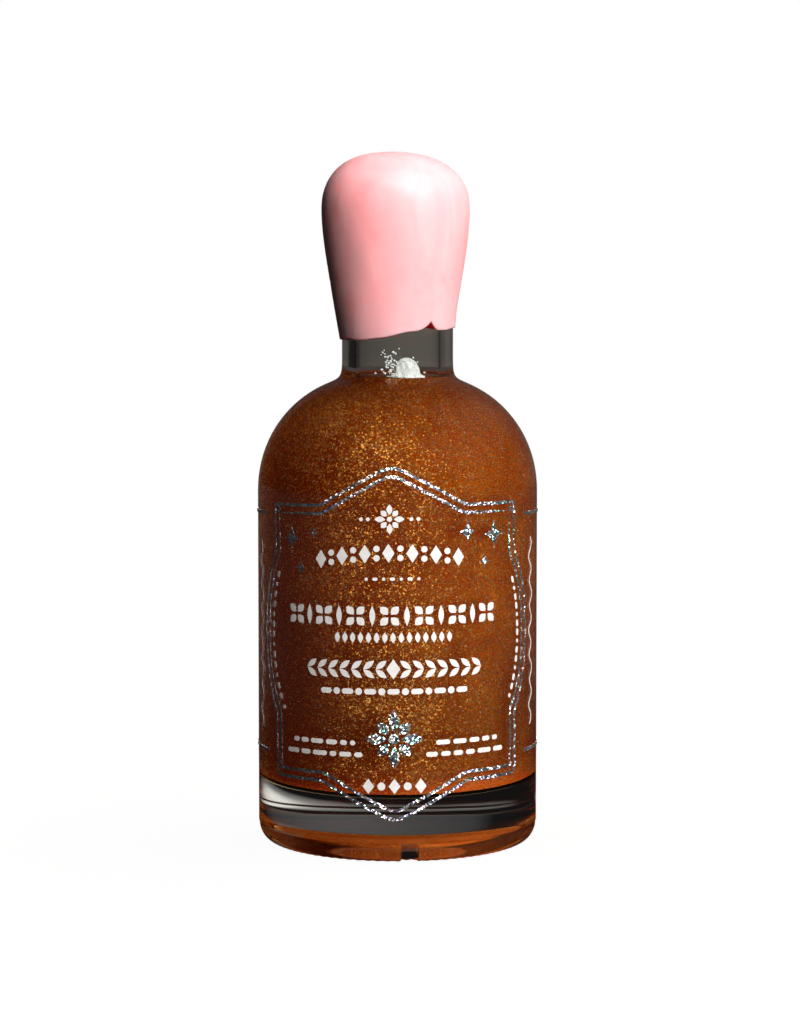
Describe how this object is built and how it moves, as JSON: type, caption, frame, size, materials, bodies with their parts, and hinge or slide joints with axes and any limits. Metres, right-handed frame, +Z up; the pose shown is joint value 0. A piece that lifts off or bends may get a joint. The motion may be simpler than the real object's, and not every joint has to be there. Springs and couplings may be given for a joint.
{
  "type": "maple syrup bottle",
  "caption": "Round-shouldered clear glass bottle of glittering maple syrup, with a heavy base, a dipped wax seal and a clear wrap-round label.",
  "frame": {"origin": "on the bottle's axis, in the plane that it stands on", "axes": "+Z up along the bottle's axis; the front of the label faces -Y; +X is to the right as the front is seen"},
  "size_m": [0.0628, 0.0628, 0.1536],
  "materials": {
    "glass": "clear, smooth, thick at the base",
    "syrup": "clear red-brown syrup full of fine gold glitter",
    "froth": "fine white froth",
    "wax": "smooth dipped wax with a soft gloss",
    "label": "clear film printed in white, with silver rainbow foil lines and stars"
  },
  "bodies": {
    "root": {"glass_bottle": "glass", "syrup": "syrup", "froth": "froth", "wax_seal": "wax", "label_film": "label"}
  },
  "joints": []
}
